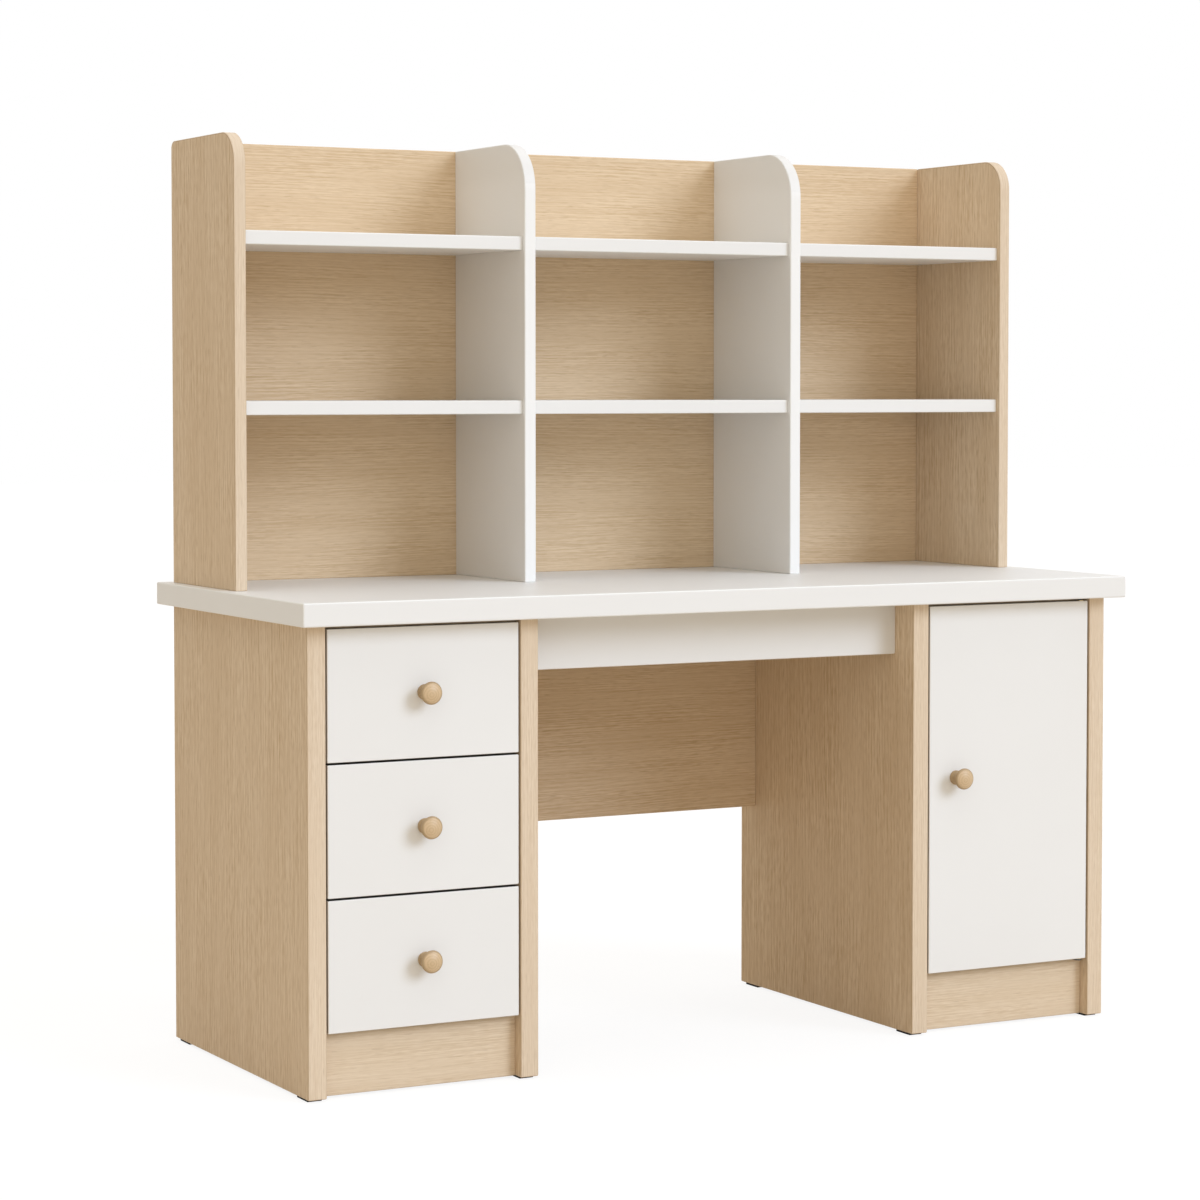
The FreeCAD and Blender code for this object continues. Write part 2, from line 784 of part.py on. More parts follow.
case_ends = {"front": case_front + size.case_dowel_inset, "back": case_back - size.case_dowel_inset}
for label, (low, high) in side_spans.items():
    for end, along in case_ends.items():
        foot = ((low + high) / 2, along, top_under)
        dowel(f"{label}_{end}", foot, size.case_dowel_radius, size.case_dowel_long, sides[label], desktop)
hutch_ends = {"front": hutch_front + size.hutch_dowel_inset, "back": case_back - size.hutch_dowel_inset}
for label, (low, high) in uprights.items():
    upright = upright_pieces[label]
    for end, along in hutch_ends.items():
        foot = ((low + high) / 2, along, size.desk_height)
        dowel(f"{label}_{end}", foot, size.hutch_dowel_radius, size.hutch_dowel_long, desktop, upright)
keep_group("joint_dowels", dowels)

# Every feature is whole, every cut takes material away and every sub-part is sound
doc.recompute()
for item in doc.Objects:
    if "Invalid" in item.State or "Error" in item.State:
        raise RuntimeError(f"{item.Label} failed: {item.State}")
    cuts = item.TypeId.startswith("PartDesign::Subtractive")
    if cuts and item.Shape.Volume >= item.BaseFeature.Shape.Volume:
        raise RuntimeError(f"{item.Label} cuts nothing")
for item in parts:
    if item.Shape.isNull() or not item.Shape.isValid() or not item.Shape.Solids:
        raise RuntimeError(f"{item.Label} has no sound solid")

os.makedirs("parts", exist_ok=True)
for item in parts:
    item.Shape.exportStep(f"parts/{item.Label}.step")
print(len(parts), "sub-parts")
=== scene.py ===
import math

import bpy
from bpy.props import FloatProperty, FloatVectorProperty, IntProperty, PointerProperty
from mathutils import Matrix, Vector


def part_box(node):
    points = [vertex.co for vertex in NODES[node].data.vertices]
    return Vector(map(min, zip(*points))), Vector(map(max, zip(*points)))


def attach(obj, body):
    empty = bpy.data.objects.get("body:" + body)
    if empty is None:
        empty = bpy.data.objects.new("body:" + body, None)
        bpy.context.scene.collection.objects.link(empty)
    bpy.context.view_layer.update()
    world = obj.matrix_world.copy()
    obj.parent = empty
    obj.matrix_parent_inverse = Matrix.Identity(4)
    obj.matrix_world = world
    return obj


bl_info = {
    "name": "Student desk with hutch",
    "version": (1, 0, 0),
    "blender": (4, 5, 0),
    "location": "3D View > Sidebar > Desk",
    "description": "Finishes, fixings and studio for a student desk with a hutch",
    "category": "Object",
}

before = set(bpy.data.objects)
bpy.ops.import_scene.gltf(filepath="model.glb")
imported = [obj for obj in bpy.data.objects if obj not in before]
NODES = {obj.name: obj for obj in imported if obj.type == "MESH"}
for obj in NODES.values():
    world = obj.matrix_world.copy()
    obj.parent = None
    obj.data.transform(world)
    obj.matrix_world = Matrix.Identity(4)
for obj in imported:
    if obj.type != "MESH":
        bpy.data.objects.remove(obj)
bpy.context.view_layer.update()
MM = 0.001
TIERS = ("bottom", "middle", "top")
FRONTS = [f"{tier}_drawer_front" for tier in TIERS] + ["door_panel"]
DIVIDERS = ("hutch_left_divider", "hutch_right_divider")
SHELVES = [node for node in NODES if node.startswith("hutch_") and "_shelf_" in node]


# Node trees

# Sockets of a Mix node that mixes colours, and of a Random Value node that gives a number
MIX_SHARE = 0
MIX_FIRST = 6
MIX_SECOND = 7
MIXED = 2
RANDOM_HIGHEST = 3
RANDOM_NUMBER = 1


class Amount:
    """A number that changes over a surface; its operators add the nodes that work it out."""

    def __init__(self, work, socket):
        self.work = work
        self.socket = socket

    def maths(self, operation, *others):
        inputs = dict(enumerate((self, *others)))
        return self.work.amount("ShaderNodeMath", {"operation": operation}, inputs)

    def __add__(self, other):
        return self.maths("ADD", other)

    def __sub__(self, other):
        return self.maths("SUBTRACT", other)

    def __rsub__(self, other):
        return (self * -1) + other

    def __mul__(self, other):
        return self.maths("MULTIPLY", other)

    def __truediv__(self, other):
        return self.maths("DIVIDE", other)

    def __pow__(self, other):
        return self.maths("POWER", other)

    def __abs__(self):
        return self.maths("ABSOLUTE")

    __radd__ = __add__
    __rmul__ = __mul__

    def least(self, other):
        return self.maths("MINIMUM", other)

    def most(self, other):
        return self.maths("MAXIMUM", other)

    def swing(self):
        """An amount from 0 to 1, moved to swing round 0."""
        return self - 0.5

    def rise(self, low, high):
        """Climbs smoothly from 0 at low to 1 at high."""
        settings = {"interpolation_type": "SMOOTHSTEP"}
        return self.work.amount("ShaderNodeMapRange", settings, {0: self, 1: low, 2: high})


class NodeWork:
    """A node tree in the making."""

    def __init__(self, tree):
        self.tree = tree

    def node(self, kind, settings=None, inputs=None):
        """Adds one node: its settings first, then the values or links of its sockets."""
        made = self.tree.nodes.new(kind)
        for name, value in (settings or {}).items():
            setattr(made, name, value)
        for key, value in (inputs or {}).items():
            self.feed(made.inputs[key], value)
        return made

    def feed(self, socket, value):
        """Links a socket to an amount, another socket or a node's first output, or sets its value."""
        if isinstance(value, Amount):
            value = value.socket
        if isinstance(value, bpy.types.Node):
            value = value.outputs[0]
        if isinstance(value, bpy.types.NodeSocket):
            self.tree.links.new(value, socket)
        else:
            socket.default_value = value

    def amount(self, kind, settings, inputs):
        """Adds one node and gives its first output."""
        return Amount(self, self.node(kind, settings, inputs).outputs[0])

    def vector(self, x, y, z):
        return self.node("ShaderNodeCombineXYZ", inputs={0: x, 1: y, 2: z})

    def seen(self):
        """1 for what the camera, a gloss or a clear piece shows, and 0 for light that bounces."""
        path = self.node("ShaderNodeLightPath").outputs
        direct = Amount(self, path["Is Camera Ray"])
        return direct.most(path["Is Glossy Ray"]).most(path["Is Transmission Ray"])


class Finish(NodeWork):
    """A material in the making, with its patterns measured from the middle of one board."""

    def __init__(self, name, centre=(0, 0, 0), **shader):
        self.material = bpy.data.materials.new(name)
        self.material.use_nodes = True
        super().__init__(self.material.node_tree)
        self.tree.nodes.clear()
        self.shader = self.node("ShaderNodeBsdfPrincipled")
        self.output = self.node("ShaderNodeOutputMaterial", inputs={"Surface": self.shader})
        for socket, value in shader.items():
            self.feed(self.shader.inputs[socket.replace("_", " ")], value)
        coordinates = self.node("ShaderNodeTexCoord").outputs["Object"]
        shift = [-place for place in centre]
        moved = self.node("ShaderNodeMapping", inputs={"Vector": coordinates, "Location": shift})
        parts = self.node("ShaderNodeSeparateXYZ", inputs={0: moved})
        self.x, self.y, self.z = (Amount(self, socket) for socket in parts.outputs)

    def noise(self, x, y, z, detail=2.0):
        """Soft noise in a space of three numbers."""
        inputs = {"Vector": self.vector(x, y, z), "Scale": 1.0, "Detail": detail}
        return self.amount("ShaderNodeTexNoise", None, inputs)

    def even_noise(self, count, detail=2.0):
        """Soft noise with the same count to the metre along each axis."""
        return self.noise(self.x * count, self.y * count, self.z * count, detail)

    def mix(self, share, first, second):
        """A colour between two, each an RGBA value or a link."""
        inputs = {MIX_SHARE: share, MIX_FIRST: first, MIX_SECOND: second}
        return self.node("ShaderNodeMix", {"data_type": "RGBA"}, inputs).outputs[MIXED]

    def surface(self, colour, roughness, height, depth):
        """Hands the patterns to the shader; depth is how far the bump's height reaches."""
        bump = self.node("ShaderNodeBump", inputs={"Strength": 1.0, "Distance": depth, "Height": height})
        self.feed(self.shader.inputs["Base Color"], colour)
        self.feed(self.shader.inputs["Roughness"], roughness)
        self.feed(self.shader.inputs["Normal"], bump)
        return self.material


def darker(colour, share):
    """A colour with only a share of its light."""
    return [part * share for part in colour[:3]] + [1]


def edge_of(finish, half, width):
    """1 on the edges of a board of that half size, falling to 0 a width away from them."""
    near = [size - abs(axis) for size, axis in zip(half, (finish.x, finish.y, finish.z))]
    second = near[0].least(near[1]).most(near[0].most(near[1]).least(near[2]))
    return 1 - second.rise(0.0, width)


def box_of(node):
    """Middle and half size of a CAD node."""
    low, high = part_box(node)
    return (low + high) / 2, (high - low) / 2


def dress(node, material):
    """Gives a CAD node its finish."""
    slots = NODES[node].data.materials
    slots.clear()
    slots.append(material)


# Properties


class OakFinish(bpy.types.PropertyGroup):
    """Light oak veneer of the sides, the plinths and the back panels."""

    pale: FloatVectorProperty(
        name="Pale wood", description="Colour between the growth lines", subtype="COLOR", size=4,
        min=0, max=1, default=(0.765, 0.618, 0.450, 1),
    )
    deep: FloatVectorProperty(
        name="Deep wood", description="Colour of the growth lines", subtype="COLOR", size=4,
        min=0, max=1, default=(0.560, 0.395, 0.228, 1),
    )
    pore: FloatVectorProperty(
        name="Pores", description="Colour of the open pores", subtype="COLOR", size=4,
        min=0, max=1, default=(0.400, 0.265, 0.145, 1),
    )
    # Colour of the front edge bands: partly the band's own paler colour, partly painted light on the lit
    # front edges
    band: FloatVectorProperty(
        name="Edge band", description="Colour of the bands on the front edges", subtype="COLOR", size=4,
        min=0, max=1, default=(0.795, 0.690, 0.575, 1),
    )
    spacing: FloatProperty(
        name="Line spacing", description="Distance between growth lines", subtype="DISTANCE",
        min=0.002, default=0.0060,
    )
    roughness: FloatProperty(
        name="Roughness", description="Roughness of the lacquer", subtype="FACTOR",
        min=0, max=1, default=0.50,
    )


class WhiteFinish(bpy.types.PropertyGroup):
    """Satin white coat of the top, the fronts, the shelves and the dividers."""

    colour: FloatVectorProperty(
        name="White", description="Colour of the coat", subtype="COLOR", size=4,
        min=0, max=1, default=(0.830, 0.820, 0.800, 1),
    )
    # Colour of the coat's random drift, also used for the painted shade on the apron and the dividers' upper
    # round
    shade: FloatVectorProperty(
        name="Shade", description="Colour that the coat drifts to", subtype="COLOR", size=4,
        min=0, max=1, default=(0.785, 0.768, 0.740, 1),
    )
    # Painted highlight: a lighter colour along the edges of the coat, where light catches them
    edge: FloatVectorProperty(
        name="Edges", description="Colour of the rubbed edges", subtype="COLOR", size=4,
        min=0, max=1, default=(0.905, 0.900, 0.885, 1),
    )
    # Painted shade on the side faces of the fronts, standing in for the shade in the gaps beside them
    band: FloatVectorProperty(
        name="Side bands", description="Colour of the bands at the sides of the fronts",
        subtype="COLOR", size=4, min=0, max=1, default=(0.440, 0.385, 0.325, 1),
    )
    # Painted shadow on the upper and lower faces of the fronts, standing in for the dark gaps between them
    painted_gap_shadow: FloatVectorProperty(
        name="Upper and lower bands", description="Colour of the bands at the top and bottom of the fronts",
        subtype="COLOR", size=4, min=0, max=1, default=(0.090, 0.078, 0.066, 1),
    )
    roughness: FloatProperty(
        name="Roughness", description="Roughness of the coat", subtype="FACTOR",
        min=0, max=1, default=0.44,
    )


class KnobFinish(bpy.types.PropertyGroup):
    """Lacquered beech of the knobs."""

    pale: FloatVectorProperty(
        name="Pale wood", description="Colour between the rings", subtype="COLOR", size=4,
        min=0, max=1, default=(0.632, 0.454, 0.266, 1),
    )
    deep: FloatVectorProperty(
        name="Deep wood", description="Colour of the rings", subtype="COLOR", size=4,
        min=0, max=1, default=(0.460, 0.310, 0.152, 1),
    )


class FixingSizes(bpy.types.PropertyGroup):
    """Screw heads and cam discs."""

    runner_head: FloatProperty(
        name="Runner screw", description="Head radius of the runner screws", subtype="DISTANCE",
        default=0.0026,
    )
    panel_head: FloatProperty(
        name="Panel screw", description="Head radius of the panel screws", subtype="DISTANCE",
        default=0.0036,
    )
    cam_disc: FloatProperty(
        name="Cam disc", description="Radius of the cam discs in the drawers", subtype="DISTANCE",
        default=0.0065,
    )
    seed: IntProperty(name="Seed", description="Start of the random turn of each head", default=7)


class StudioSizes(bpy.types.PropertyGroup):
    """Camera and light."""

    camera: FloatVectorProperty(
        name="Camera", description="Place of the camera", subtype="TRANSLATION",
        default=(-2.6350, -4.7446, 1.0671),
    )
    heading: FloatProperty(
        name="Heading", description="Turn of the camera from straight ahead to the right",
        subtype="ANGLE", default=math.radians(28.19),
    )
    tilt: FloatProperty(
        name="Tilt", description="Tilt of the camera below the horizon", subtype="ANGLE",
        default=math.radians(2.455),
    )
    lens: FloatProperty(
        name="Lens", description="Focal length in millimetres", unit="CAMERA", default=98.32,
    )
    lift: FloatProperty(name="Lift", description="Upward shift of the picture's middle", default=-0.06)
    ambient: FloatProperty(name="Ambient", description="Light from all round", min=0, default=0.43)
    warmth: FloatVectorProperty(
        name="Warmth", description="Colour of the light from all round", subtype="COLOR", size=4,
        min=0, max=1, default=(0.97, 0.89, 0.755, 1),
    )
    key: FloatProperty(
        name="Key", description="Light from the upper right in front", min=0, default=1.70,
    )
    fill: FloatProperty(name="Fill", description="Wide light from the left in front", min=0, default=0.62)
    top: FloatProperty(name="Top", description="Wide light from above", min=0, default=1.17)


# Oak boards

# Axes along, across and through the grain of each board
UPRIGHT = "zyx"
LENGTHWAYS = "xzy"
OAK_BOARDS = {
    "left_outer_side": UPRIGHT,
    "left_inner_side": UPRIGHT,
    "right_inner_side": UPRIGHT,
    "right_outer_side": UPRIGHT,
    "hutch_left_side": UPRIGHT,
    "hutch_right_side": UPRIGHT,
    "hutch_back_panel": LENGTHWAYS,
    "modesty_panel": LENGTHWAYS,
    "plinths": LENGTHWAYS,
}
CARCASS_BOARDS = {
    "base_panels": "xyz",
    "pedestal_backs": "zxy",
    "top_rails": "xyz",
    "cupboard_shelf": "xyz",
}

# Sides with a band on their front edge, and how far in from their outline the band is measured
BANDED_SIDES = {
    "left_outer_side": 4 * MM,
    "left_inner_side": 4 * MM,
    "right_inner_side": 4 * MM,
    "right_outer_side": 4 * MM,
    "hutch_left_side": 50 * MM,
    "hutch_right_side": 50 * MM,
}
BAND_DEPTH = 1.2 * MM
SEAM_DEPTH = 1.3 * MM
SEAM_FADE = (0.4 * MM, 0.9 * MM)
BAND_SQUEEZE = 2
BAND_AND_PAINTED_LIGHT_SHARE = 0.3
SEAM_SHARE = 0.7

# Boards with a quieter figure, and boards with painted light or shade: the plinths tinted paler as lit, the
# back panel warmer and the modesty panel darker as in shade
CARCASS_CALM = 0.75
CALM_BOARDS = {"plinths": 0.75, "hutch_back_panel": 0.85}
LIGHT_AND_SHADE_TINTS = {
    "plinths": (1.01, 1.03, 1.06, 1),
    "hutch_back_panel": (1.01, 0.98, 0.925, 1),
    "modesty_panel": (0.97, 0.95, 0.92, 1),
}
PLAIN_TINT = (1, 1, 1, 1)

# Boards of several pieces, whose edges aren't the edges of their box, so their rubs and painted highlights
# are scattered over them
SCATTERED_RUB_AND_HIGHLIGHT_BOARDS = ("plinths", *CARCASS_BOARDS)

# Steps of the pattern from board to board
BOARD_STEP = 1.31
ALONG_STEP = 1.37
CARCASS_START = 20

# Counts of the marks to the metre, along the grain and across it
SWELLS = (0.9, 2.6)
SWAYS = (3.4, 14.0)
THREADS = (4.0, 150.0)
THREAD_BREAKS = (14.0, 150.0)
FIBRES = (8.0, 480.0)
FLECKS = (50.0, 480.0)
PORES = (46.0, 480.0)
PATCHES = (5.0, 24.0)
STREAKS = (1.8, 40.0)
UPRIGHT_STRETCH = 0.5
FLECK_SQUEEZE = 1.23
FLECK_SHIFT = 0.4
FIBRE_SHIFT = 1.0

# How far the grain swells and sways, in metres
SWELL_REACH = 0.040
SWAY_REACH = 0.0018

# Heart of the tree: its reach beside the board, its depth and how these change along the board
HEART_REACH = 0.11
HEART_TURN = 2.3
HEART_COUNT = 0.7
HEART_DEPTH = 0.16
HEART_RISE = 0.045
HEART_SLANT = 0.6

# Growth lines: where in a ring the late wood comes and ends, and which lines show
LATE_WOOD = (0.55, 0.92)
RING_END = (0.94, 1.0)
LINE_COUNT = 2.5
LINE_FADE = (0.38, 0.66)

# Noise values between which a mark goes from nothing to its full strength
FIBRE_FADE = (0.34, 0.66)
THREAD_FADE = (0.01, 0.06)
BREAK_FADE = (0.38, 0.60)
PATCH_FADE = (0.34, 0.64)
STREAK_FADE = (0.32, 0.70)
PORE_FADE = (0.56, 0.70)
RUB_AND_HIGHLIGHT_FADE = (0.25, 0.6)

# Fibres are one noise less a part of another, brought back to swing round a half
FIBRE_LESS = 0.7
FIBRE_GAIN = 0.8
FIBRE_LIFT = 0.38

# Pores are fewer between the growth lines, and fibres fainter between the patches
PORES_BETWEEN = 0.30
PORES_ON_LINES = 0.70
FIBRES_BETWEEN = 0.5
FIBRES_IN_PATCHES = 0.7

# Shares of the marks in the figure
MIDDLE_TONE = 0.33
FIBRE_SHARE = 0.42
FLECK_SHARE = 0.32
LINE_SHARE = 0.05
STREAK_SHARE = 0.16
SWELL_SHARE = 0.16
PORE_SHARE = 0.42
RUB_AND_HIGHLIGHT_SHARE = 0.28
RUB_AND_HIGHLIGHT_LIFT = 1.10
SCATTERED_RUB_AND_HIGHLIGHT_SHARE = 0.2
OAK_RUB_AND_HIGHLIGHT = 2.2 * MM
OAK_GLOSS = 0.1
OAK_BUMP = 0.12 * MM


def from_outline(finish, half, corner):
    """Distance from a side's front, its top corner and its top, as far as the corner's radius."""
    ahead = (corner - half.y - finish.y).most(0.0)
    above = (corner - half.z + finish.z).most(0.0)
    return corner - (ahead * ahead + above * above) ** 0.5


def growth_lines(finish, along, across, through, start):
    """Late wood of the rings round a heart that lies beside and under the board."""
    spacing = bpy.context.scene.desk_oak.spacing
    beside = across - HEART_REACH * math.sin(start * HEART_TURN)
    under = finish.noise(along * HEART_COUNT, start, 0.0, 1.0) * HEART_DEPTH - HEART_RISE
    under = under + through * HEART_SLANT
    ring = (beside * beside + under * under) ** 0.5 / spacing
    part = ring.maths("FRACT")
    strength = finish.noise(ring - part, start, along * LINE_COUNT, 0.0).rise(*LINE_FADE)
    return part.rise(*LATE_WOOD) * (1 - part.rise(*RING_END)) * strength


def oak(name, node, order, start, contrast):
    """Veneer with growth lines, fibres and pores; order names the axes along, across and through it."""
    look = bpy.context.scene.desk_oak
    centre, half = box_of(node)
    # Painted light and shade tinted into the colours of single boards
    painted_tint = LIGHT_AND_SHADE_TINTS.get(node, PLAIN_TINT)
    colours = (look.pale, look.deep, look.pore)
    pale, deep, pore = ([part * share for part, share in zip(colour, painted_tint)] for colour in colours)
    finish = Finish(name, centre, Specular_IOR_Level=OAK_GLOSS)
    along, across, through = (getattr(finish, axis) for axis in order)
    banded = node in BANDED_SIDES
    if banded:
        inside = from_outline(finish, half, BANDED_SIDES[node])
        band = 1 - inside.rise(BAND_DEPTH, SEAM_DEPTH)
        along = along + finish.y * band
        across = across * (1 - band) + finish.x * (band * BAND_SQUEEZE)
        through = through * (1 - band)
    along = along + start * ALONG_STEP

    def marks(counts, place, shift=0.0, detail=1.0):
        """Noise drawn out along the grain, with its place across it."""
        lengthways, crossways = counts
        return finish.noise(along * lengthways, place * crossways + shift, through * crossways, detail)

    swell = marks(SWELLS, across, start, 2.0)
    sway = marks(SWAYS, across, start, 2.0)
    wander = across + swell.swing() * SWELL_REACH + sway.swing() * SWAY_REACH
    line = growth_lines(finish, along, wander, through, start)
    stretch = UPRIGHT_STRETCH if order == UPRIGHT else 1.0
    strand = wander * stretch
    thread = 1 - abs(marks(THREADS, strand, start).swing()).rise(*THREAD_FADE)
    thread = thread * marks(THREAD_BREAKS, strand).rise(*BREAK_FADE)
    fibre = marks(FIBRES, strand) - marks(FIBRES, strand, FIBRE_SHIFT) * FIBRE_LESS
    fibre = fibre * FIBRE_GAIN + FIBRE_LIFT
    fleck = marks(FLECKS, strand * FLECK_SQUEEZE, FLECK_SHIFT)
    patch = marks(PATCHES, across * stretch, start).rise(*PATCH_FADE)
    streak = marks(STREAKS, strand, detail=2.0).rise(*STREAK_FADE)
    pores = marks(PORES, strand).rise(*PORE_FADE) * (PORES_BETWEEN + line * PORES_ON_LINES)
    figure = fibre.rise(*FIBRE_FADE).swing() * FIBRE_SHARE + fleck.rise(*FIBRE_FADE).swing() * FLECK_SHARE
    figure = figure * (FIBRES_BETWEEN + patch * FIBRES_IN_PATCHES) + (thread + line) * LINE_SHARE
    figure = MIDDLE_TONE + figure + streak.swing() * STREAK_SHARE + swell.swing() * SWELL_SHARE
    wood = finish.mix(figure * contrast, pale, deep)
    wood = finish.mix(pores * (PORE_SHARE * contrast), wood, pore)
    if banded:
        # Paler band, partly a real edge band and partly painted light on the lit front edge
        wood = finish.mix(band * BAND_AND_PAINTED_LIGHT_SHARE, wood, look.band)
        seam = 1 - abs(inside - SEAM_DEPTH).rise(*SEAM_FADE)
        wood = finish.mix(seam * SEAM_SHARE, wood, pore)
    # Edges made lighter, partly as rubbed wear and partly as a painted highlight where light catches them
    edge = fibre * SCATTERED_RUB_AND_HIGHLIGHT_SHARE if node in SCATTERED_RUB_AND_HIGHLIGHT_BOARDS else edge_of(finish, half, OAK_RUB_AND_HIGHLIGHT)
    rubbed_and_lit = edge * fibre.rise(*RUB_AND_HIGHLIGHT_FADE)
    wood = finish.mix(rubbed_and_lit * RUB_AND_HIGHLIGHT_SHARE, wood, [min(1.0, part * RUB_AND_HIGHLIGHT_LIFT) for part in pale])
    roughness = look.roughness + fibre.swing() * 0.14 + pores * 0.12 - rubbed_and_lit * 0.06
    return finish.surface(wood, roughness, fleck * 0.5 - pores * 0.8, OAK_BUMP)


class OakBoards(bpy.types.Operator):
    """Dresses the sides, the plinths, the back panels and the hidden boards in light oak"""

    bl_idname = "desk_hutch.oak_boards"
    bl_label = "Oak boards"

    def execute(self, context):
        for start, (node, order) in enumerate(OAK_BOARDS.items(), start=1):
            contrast = CALM_BOARDS.get(node, 1.0)
            dress(node, oak(f"oak_{node}", node, order, start * BOARD_STEP, contrast))
        for start, (node, order) in enumerate(CARCASS_BOARDS.items(), start=CARCASS_START):
            dress(node, oak(f"carcass_{node}", node, order, start * BOARD_STEP, CARCASS_CALM))
        return {"FINISHED"}


# White boards

# Counts of the coat's marks to the metre
DRIFT_COUNT = 2.3
CLOUD_COUNT = 17.0
PEEL_COUNT = 620.0

# Shares of the drift and the clouds in the tone
DRIFT_FADE = (0.35, 0.75)
DRIFT_SHARE = 0.35
CLOUD_SHARE = 0.10

# Painted shade on single boards, drawn with the drift's shade colour: the apron as in the shadow of the top,
# and the dividers' upper round
DESKTOP_DRIFT = 0.3
APRON_PAINTED_SHADE = 0.8
ROUND_PAINTED_SHADE = 0.6

# Upper round of the dividers, and the painted highlight on their front edge
DIVIDER_ROUND = 76 * MM
DIVIDER_HIGHLIGHT = (0.4 * MM, 0.8 * MM)

# Painted shade on the narrow faces of the fronts, standing in for the shade in the gaps between them: how
# thick, and how far behind the face it starts
FRONT_GAP_SHADE_WIDTH = (0.2 * MM, 0.5 * MM)
FRONT_ARRIS = (0.6 * MM, 1.2 * MM)

# Width and share of the painted highlight along the coat's edges
COAT_HIGHLIGHT_WIDTH = 2.6 * MM
COAT_HIGHLIGHT_SHARE = 0.8
COAT_GLOSS = 0.3
COAT_BUMP = 0.02 * MM


def white(node):
    """Satin coat with a drift of tone, a fine peel and painted highlights on its edges; painted shade on the
    apron and on the dividers' upper round, and on a front, painted shade on the narrow faces along the gaps.
    """
    look = bpy.context.scene.desk_white
    centre, half = box_of(node)
    finish = Finish(f"white_{node}", centre, Specular_IOR_Level=COAT_GLOSS)
    x, y, z = (axis * DRIFT_COUNT for axis in (finish.x, finish.y, finish.z))
    drift = finish.noise(x, y, z + centre.x, 3.0)
    cloud = finish.even_noise(CLOUD_COUNT)
    peel = finish.even_noise(PEEL_COUNT, 1.0)
    edge = edge_of(finish, half, COAT_HIGHLIGHT_WIDTH)
    tone = drift.rise(*DRIFT_FADE) * DRIFT_SHARE + cloud.swing() * CLOUD_SHARE
    if node == "desktop":
        tone = tone * DESKTOP_DRIFT
    # Painted shade: the apron drawn darker, as in the shadow of the top
    if node == "knee_apron":
        tone = tone + APRON_PAINTED_SHADE
    # Painted shade on the dividers' upper round
    if node in DIVIDERS:
        upper = finish.z.rise(half.z - DIVIDER_ROUND, half.z - DIVIDER_ROUND / 2)
        tone = tone + upper * ROUND_PAINTED_SHADE
        # Painted highlight on the dividers' front face, kept off the upper round
        edge = edge.most(1 - (half.y + finish.y).rise(*DIVIDER_HIGHLIGHT)) * (1 - upper)
    coat = finish.mix(tone, look.colour, look.shade)
    if node in FRONTS:
        behind = (half.y - abs(finish.y)).rise(*FRONT_ARRIS)
        beside = 1 - (half.x - abs(finish.x)).rise(*FRONT_GAP_SHADE_WIDTH)
        above = 1 - (half.z - abs(finish.z)).rise(*FRONT_GAP_SHADE_WIDTH)
        # Painted shade on the side faces, and darker painted shadow on the upper and lower faces, along the
        # gaps between the fronts
        coat = finish.mix(beside * behind, coat, look.band)
        coat = finish.mix(above * behind, coat, look.painted_gap_shadow)
        edge = edge * (1 - behind)
    # Painted highlight along the edges; on a front only at the arris of its face
    coat = finish.mix(edge * COAT_HIGHLIGHT_SHARE, coat, look.edge)
    roughness = look.roughness + cloud.swing() * 0.10 + drift.swing() * 0.08 + edge * 0.06
    return finish.surface(coat, roughness, peel, COAT_BUMP)


class WhiteBoards(bpy.types.Operator):
    """Dresses the top, the fronts, the apron, the shelves and the dividers in satin white"""

    bl_idname = "desk_hutch.white_boards"
    bl_label = "White boards"

    def execute(self, context):
        for node in ("desktop", "knee_apron", *DIVIDERS, *SHELVES, *FRONTS):
            dress(node, white(node))
        return {"FINISHED"}


# Drawer boxes

BOX_SIDE = 12 * MM
PLY = 4 / 3 * MM
PLY_FADE = (-0.6, -0.15)
BIRCH = (0.745, 0.590, 0.400, 1)
BIRCH_DEEP = (0.610, 0.440, 0.265, 1)
PLY_CORE = (0.430, 0.280, 0.150, 1)
BIRCH_FADE = (0.35, 0.7)
BIRCH_BUMP = 0.08 * MM

# Counts of the birch's marks to the metre, along the grain and across it, and steps from box to box
BOX_SWELLS = (2.0, 9.0)
BOX_FIBRES = (14.0, 380.0)
BOX_STEP = 40
FLOOR_SWELLS = (2.2, 7.0)
FLOOR_FIBRES = (16.0, 420.0)
FLOOR_STEP = 30
FLOOR_BANDS = 9.0
FLOOR_BAND_FADE = (0.2, 1.0)


def plies(axis, start):
    """The dark plies of a panel that starts at a place on an axis."""
    wave = ((axis - start - PLY / 2) * (math.pi / PLY)).maths("COSINE")
    return 1 - wave.rise(*PLY_FADE)


def birch(name, node):
    """Plywood with its plies on the edges, and a quiet figure on the faces."""
    centre, half = box_of(node)
    finish = Finish(name, centre)
    inner = half.x - BOX_SIDE
    side = abs(finish.x).rise(inner - 0.2 * MM, inner)
    along = finish.y * side + finish.x * (1 - side)
    through = finish.x * side + finish.y * (1 - side)
    lengthways, crossways = BOX_SWELLS
    slow = finish.noise(along * lengthways, finish.z * crossways + centre.z * BOX_STEP, through * crossways)
    lengthways, crossways = BOX_FIBRES
    fibre = finish.noise(along * lengthways, finish.z * crossways, through * crossways)
    dark = plies(abs(finish.x), inner) * side + plies(finish.y, half.y - BOX_SIDE) * (1 - side)
    figure = slow.rise(*BIRCH_FADE) * 0.5 + fibre.rise(*BIRCH_FADE) * 0.4
    wood = finish.mix(figure, BIRCH, BIRCH_DEEP)
    wood = finish.mix(dark * 0.8, wood, PLY_CORE)
    return finish.surface(wood, 0.5 + fibre.swing() * 0.2, fibre, BIRCH_BUMP)


